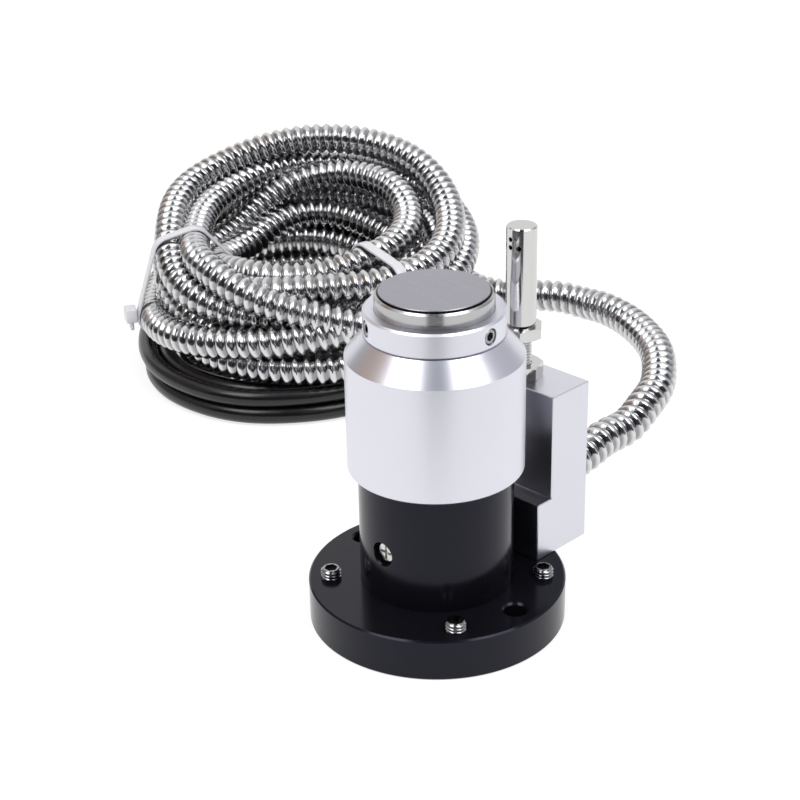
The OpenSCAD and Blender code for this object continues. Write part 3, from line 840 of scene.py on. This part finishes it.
@dataclass
class ThreadedRod:
    """An upright rod with a screw thread, as long as its node, with a hexagon socket if it has one."""

    name: str
    node: str
    body: Body
    finish: object
    places: tuple[tuple[float, float], ...]
    diameter: float
    pitch: float = 0.8
    depth_per_pitch: float = 0.61
    crest_width: float = 1.25
    chamfer: float = 1.1
    sharp_angle: float = 38.0
    socket_af: float = 0.0
    socket_depth: float = 2.5
    rows_per_pitch: int = 8
    sides: int = 48

    def rows(self) -> tuple[np.ndarray, np.ndarray]:
        """Returns the radius and height of every point, a row for each ring from the foot up."""
        turn = 2.0 * math.pi * np.arange(self.sides + 1) / self.sides
        foot, top = (round(corner.z / MM, 3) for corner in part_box(self.node))
        count = round((top - foot) / self.pitch * self.rows_per_pitch)
        level = np.linspace(foot, top, count + 1)[:, None]
        phase = level / self.pitch + turn / (2.0 * math.pi)
        crest = np.clip(self.crest_width * np.abs(2.0 * (phase % 1.0) - 1.0), 0.0, 1.0)
        depth = self.depth_per_pitch * self.pitch
        bevel = np.minimum(level - foot, top - level)
        limit = self.diameter / 2 - self.chamfer * depth + bevel
        radius = np.minimum(self.diameter / 2 - depth * (1.0 - crest), limit)
        none = np.zeros((1, self.sides + 1))
        height = np.broadcast_to(level, radius.shape)
        if not self.socket_af:
            return (np.vstack([none, radius, none]),
                    np.vstack([none + foot, height, none + top]))
        socket = self.socket_af / 2 / np.cos((turn + math.pi / 6) % (math.pi / 3) - math.pi / 6)[None]
        floor = none + top - self.socket_depth
        return (np.vstack([none, radius, socket, socket, none]),
                np.vstack([none + foot, height, none + top, floor, floor]))

    def build(self) -> bpy.types.Object:
        """Builds every rod of this kind as one piece.

        Returns:
            The rods' object.
        """
        radius, height = self.rows()
        both = bmesh.new()
        for place in self.places:
            bm = bmesh.new()
            bmesh.ops.create_grid(bm, x_segments=len(radius) - 1, y_segments=self.sides, size=0.5)
            for vert in bm.verts:
                row = round((vert.co.x + 0.5) * (len(radius) - 1))
                side = round((vert.co.y + 0.5) * self.sides)
                turn = 2.0 * math.pi * side / self.sides
                r = radius[row, side]
                vert.co = MM * Vector((place[0] + r * math.cos(turn), place[1] + r * math.sin(turn),
                                       height[row, side]))
            bmesh.ops.remove_doubles(bm, verts=bm.verts, dist=0.002 * MM)
            bmesh.ops.recalc_face_normals(bm, faces=bm.faces)
            rod = mesh_from(bm, "rod")
            both.from_mesh(rod)
            bpy.data.meshes.remove(rod)
        mesh = mesh_from(both, self.name)
        mesh.set_sharp_from_angle(angle=math.radians(self.sharp_angle))
        piece = new_piece(self.name, mesh, self.finish, self.body)
        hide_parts(self.node)
        return piece


# The studio


@dataclass
class Studio:
    """Camera, floor and lights, in the camera's own directions: right, away and up, in metres."""

    camera_at: tuple[float, float, float] = (-0.00829, -0.38149, 0.23909)
    look_down: float = 25.454
    roll: float = -1.109
    lens_mm: float = 81.02
    sensor_mm: float = 36.0
    middle: tuple[float, float, float] = (-0.01, 0.06, 0.04)
    floor_half: float = 30.0
    floor_white: float = 0.74
    floor_lit: float = 0.42

    def place(self, right: float, away: float, up: float) -> Vector:
        """Returns a point given in the camera's directions, in the object's frame."""
        turn = math.radians(COIL.view_turn)
        x = right * math.cos(turn) + away * math.sin(turn)
        y = away * math.cos(turn) - right * math.sin(turn)
        return Vector((x, y, up))

    def add_camera(self) -> None:
        """Adds the camera at the photograph's angle."""
        data = bpy.data.cameras.new("camera")
        data.lens = self.lens_mm
        data.sensor_width = self.sensor_mm
        data.clip_start = 0.01
        camera = bpy.data.objects.new("camera", data)
        bpy.context.scene.collection.objects.link(camera)
        heading = Matrix.Rotation(math.radians(-COIL.view_turn), 4, "Z")
        pitch = Matrix.Rotation(math.radians(90.0 - self.look_down), 4, "X")
        tilt = Matrix.Rotation(math.radians(self.roll), 4, "Z")
        camera.matrix_world = Matrix.Translation(self.place(*self.camera_at)) @ heading @ pitch @ tilt
        bpy.context.scene.camera = camera

    def add_floor(self) -> None:
        """Adds the pale floor."""
        bm = bmesh.new()
        bmesh.ops.create_grid(bm, x_segments=2, y_segments=2, size=self.floor_half)
        floor = bpy.data.objects.new("floor", mesh_from(bm, "floor"))
        bpy.context.scene.collection.objects.link(floor)
        floor.data.materials.append(self.floor_material())

    def floor_material(self) -> bpy.types.Material:
        """Returns a pale floor that the camera sees as white, apart from the object's shadow."""
        s = Shader("pale_floor")
        s.set(Base_Color=rgb(0.9, 0.9, 0.905), Roughness=0.7, Specular_IOR_Level=0.1)
        rays = s.add("ShaderNodeLightPath")
        seen = s.math("MAXIMUM", rays.outputs["Is Camera Ray"], rays.outputs["Is Glossy Ray"])
        seen = s.math("MAXIMUM", seen, rays.outputs["Is Transmission Ray"])
        shade = s.add("ShaderNodeBsdfDiffuse")
        shade.inputs["Color"].default_value = rgb(self.floor_lit, self.floor_lit, self.floor_lit)
        white = s.add("ShaderNodeEmission")
        white.inputs["Strength"].default_value = self.floor_white
        lit = s.add("ShaderNodeAddShader")
        s.feed(lit.inputs[0], shade.outputs[0])
        s.feed(lit.inputs[1], white.outputs[0])
        pick = s.add("ShaderNodeMixShader")
        s.feed(pick.inputs[0], seen)
        s.feed(pick.inputs[1], s.surface.outputs[0])
        s.feed(pick.inputs[2], lit.outputs[0])
        s.feed(s.tree.nodes["Material Output"].inputs["Surface"], pick.outputs[0])
        return s.material

    def add_lamp(self, name: str, at: tuple[float, float, float], size: tuple[float, float],
                 watts: float) -> None:
        """Adds a soft rectangular lamp that faces the object.

        Args:
            name: Name of the lamp.
            at: Its place in the camera's directions.
            size: Its width and height.
            watts: Its power.
        """
        data = bpy.data.lights.new(name, "AREA")
        data.shape = "RECTANGLE"
        data.size, data.size_y = size
        data.energy = watts
        lamp = bpy.data.objects.new(name, data)
        bpy.context.scene.collection.objects.link(lamp)
        lamp.location = self.place(*at)
        facing = self.place(*self.middle) - lamp.location
        lamp.rotation_euler = facing.to_track_quat("-Z", "Y").to_euler()

    def add_card(self, name: str, ring: tuple[float, float], turn: tuple[float, float],
                 up: tuple[float, float], shade: tuple[float, float, float]) -> None:
        """Adds a curved card that only reflections show, as is set up beside polished metal.

        Args:
            name: Name of the card.
            ring: Distance of its lower and upper edge from the object's axis.
            turn: Its ends, in degrees to the right of the camera's direction.
            up: Height of its lower and upper edge.
            shade: Its colour as reflections show it.
        """
        bm = bmesh.new()
        bmesh.ops.create_grid(bm, x_segments=24, y_segments=6, size=0.5)
        for vert in bm.verts:
            share = vert.co.y + 0.5
            angle = math.radians(turn[0] + (vert.co.x + 0.5) * (turn[1] - turn[0]))
            radius = ring[0] + share * (ring[1] - ring[0])
            height = up[0] + share * (up[1] - up[0])
            vert.co = self.place(radius * math.sin(angle), -radius * math.cos(angle), height)
        self.reflected_only(mesh_from(bm, name), shade)

    def add_coil_shade(self, radius: float, height: float, grey: float) -> None:
        """Adds a disc that gives reflections the shade inside the coil.

        Args:
            radius: Its radius in millimetres.
            height: Its height above the table in millimetres.
            grey: Its brightness.
        """
        bm = bmesh.new()
        at = Matrix.Translation(MM * Vector((*COIL.centre, height)))
        bmesh.ops.create_circle(bm, cap_ends=True, segments=48, radius=MM * radius, matrix=at)
        self.reflected_only(mesh_from(bm, "coil_shade"), (grey, grey, grey))

    def reflected_only(self, mesh: bpy.types.Mesh, shade: tuple[float, float, float]) -> None:
        """Stages a mesh that only reflections show.

        Args:
            mesh: The mesh.
            shade: Its colour as reflections show it.
        """
        card = bpy.data.objects.new(mesh.name, mesh)
        bpy.context.scene.collection.objects.link(card)
        s = Shader(mesh.name)
        s.set(Base_Color=rgb(0, 0, 0), Roughness=1.0, Specular_IOR_Level=0.0,
              Emission_Color=rgb(*shade), Emission_Strength=1.0)
        card.data.materials.append(s.material)
        card.visible_camera = False
        card.visible_diffuse = False
        card.visible_shadow = False
        card.visible_transmission = False

    def add_world(self, ambient: float) -> None:
        """Sets a white background for the camera and for reflections, and a soft ambient light.

        Args:
            ambient: Brightness of the world as a light.
        """
        world = bpy.data.worlds.new("studio")
        bpy.context.scene.world = world
        world.use_nodes = True
        tree = world.node_tree
        rays = tree.nodes.new("ShaderNodeLightPath")
        seen = rays.outputs["Is Camera Ray"]
        for kind in ("Is Glossy Ray", "Is Transmission Ray"):
            either = tree.nodes.new("ShaderNodeMath")
            either.operation = "MAXIMUM"
            tree.links.new(seen, either.inputs[0])
            tree.links.new(rays.outputs[kind], either.inputs[1])
            seen = either.outputs[0]
        level = tree.nodes.new("ShaderNodeMapRange")
        level.inputs["To Min"].default_value = ambient
        level.inputs["To Max"].default_value = 1.0
        tree.links.new(seen, level.inputs["Value"])
        tree.links.new(level.outputs[0], tree.nodes["Background"].inputs["Strength"])
        tree.nodes["Background"].inputs["Color"].default_value = rgb(1.0, 1.0, 1.0)

    def build(self) -> None:
        """Builds the whole studio."""
        bpy.context.scene.view_settings.view_transform = "Standard"
        self.add_camera()
        self.add_floor()
        self.add_world(ambient=0.5)
        self.add_coil_shade(radius=30.0, height=26.0, grey=0.01)
        self.add_lamp("left_lamp", (-0.5, -0.4, 1.0), (0.6, 0.7), 5.0)
        self.add_lamp("right_lamp", (0.5, -0.3, 1.0), (0.6, 0.7), 4.5)
        self.add_card("front_room", (1.1, 1.1), (-70.0, 70.0), (0.0, 1.2), (0.045, 0.045, 0.05))
        self.add_card("left_room", (1.1, 1.1), (-135.0, -70.0), (0.0, 0.5), (0.36, 0.36, 0.38))
        self.add_card("left_wall", (1.1, 1.1), (-125.0, -75.0), (0.5, 1.05), (0.50, 0.37, 0.29))
        self.add_card("right_room", (1.1, 1.1), (70.0, 135.0), (0.0, 1.0), (0.56, 0.56, 0.60))
        self.add_card("dark_table", (0.185, 0.5), (-15.0, 15.0), (0.0005, 0.0005), (0.08, 0.08, 0.085))
        self.add_card("ceiling_gap", (0.7, 0.02), (-32.0, 32.0), (0.85, 1.0), (0.03, 0.06, 0.1))


# The rigid pieces


class Mechanism:
    """The pieces that stay as they are packed, each with its finish."""

    def finishes(self) -> dict[object, tuple[str, ...]]:
        """Returns the nodes that take each finish."""
        return {
            BLACK_ANODISED: ("base_flange", "barrel", "bottom_cover"),
            SILVER_TURNED: ("cap", "clamp_collar"),
            SILVER_MILLED: ("side_block",),
            GROUND_STEEL: ("anvil_holder",),
            POLISHED_STEEL: ("nozzle_tube", "nozzle_nut", "nozzle_lock_nut",
                             "armour_ferrule", "conduit_gland"),
            CARBIDE: ("carbide_disc",),
            SCREW_STEEL: ("barrel_screws", "cover_screws", "barrel_lock_screw", "block_screws",
                          "plunger_shaft"),
            DARK_STEEL: ("collar_set_screws",),
            SPRING_STEEL: ("return_spring", "shaft_retainer"),
            BRONZE: ("guide_bush",),
            SEAL_RUBBER: ("wiper_seal",),
            BOARD_GREEN: ("sensor_board",),
            SENSOR_PLASTIC: ("slot_sensor", "sensor_flag", "wire_sleeve"),
        }

    def build(self) -> None:
        """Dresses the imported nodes."""
        for finish, names in self.finishes().items():
            for name in names:
                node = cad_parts[name]
                node.data.materials.clear()
                node.data.materials.append(dressed(finish))
                LOG.info("node %s in %s", name, finish.name)


def main() -> None:
    """Builds the dressed tool setter and its studio."""
    logging.basicConfig(level=logging.INFO, format="%(name)s: %(message)s")
    Studio().build()
    Mechanism().build()
    lead = ArmouredLead()
    lead.build()
    SignalCable().build()
    CoilTies(lead).build()
    level_turns = [math.radians(angle) for angle in LEVEL_ANGLES]
    level_places = tuple((LEVEL_CIRCLE_R * math.cos(t), LEVEL_CIRCLE_R * math.sin(t)) for t in level_turns)
    ThreadedRod("level_screw_threads", "level_screws", Body.SETTER, DARK_STEEL, level_places,
                diameter=5.0, socket_af=2.9).build()
    ThreadedRod("nozzle_stud_thread", "nozzle_stud", Body.NOZZLE, SCREW_STEEL, (STUD_PLACE,),
                diameter=5.5).build()


if __name__ == "__main__":
    main()
